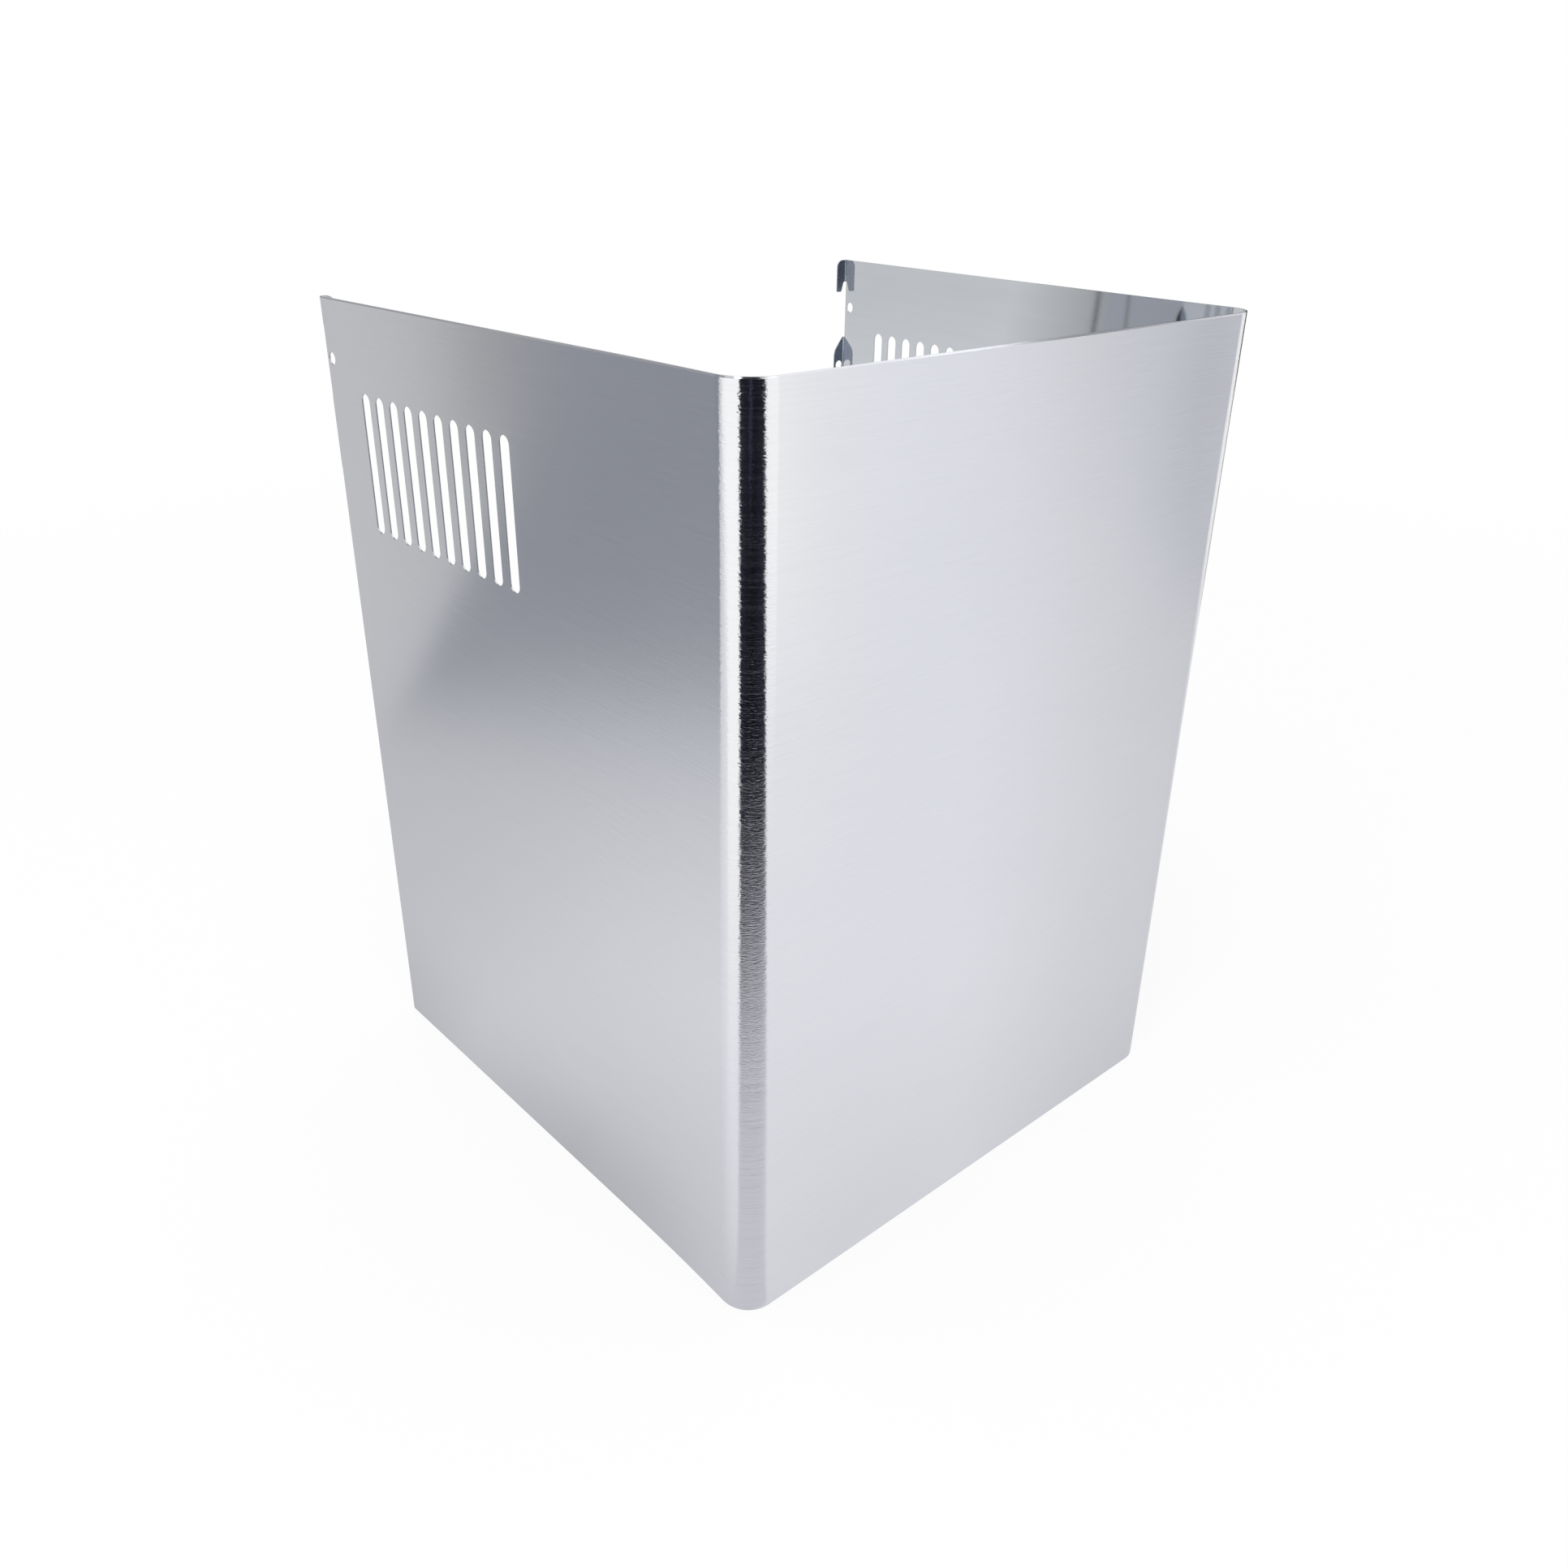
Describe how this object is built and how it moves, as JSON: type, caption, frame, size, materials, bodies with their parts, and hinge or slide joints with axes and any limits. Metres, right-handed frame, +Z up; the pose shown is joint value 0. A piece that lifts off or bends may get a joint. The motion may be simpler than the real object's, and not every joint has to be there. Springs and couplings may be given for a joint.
{
  "type": "cooker hood chimney section",
  "caption": "U-shaped chimney cover folded from one brushed stainless sheet, open at the back, with vent slots in both sides and hook tabs and screw lugs along the rear edges.",
  "frame": {"origin": "middle of the floor that the section covers: centre of the bounding box in X and Y, at the lower edge", "axes": "+Z up, +X to the right seen from the front, +Y from the front panel towards the wall"},
  "size_m": [0.3088, 0.2734, 0.38],
  "materials": {
    "brushed_steel": "outside brushed with a fine horizontal grain, inside bright and smooth"
  },
  "bodies": {
    "root": {"chimney_cover": "brushed_steel"}
  },
  "joints": []
}
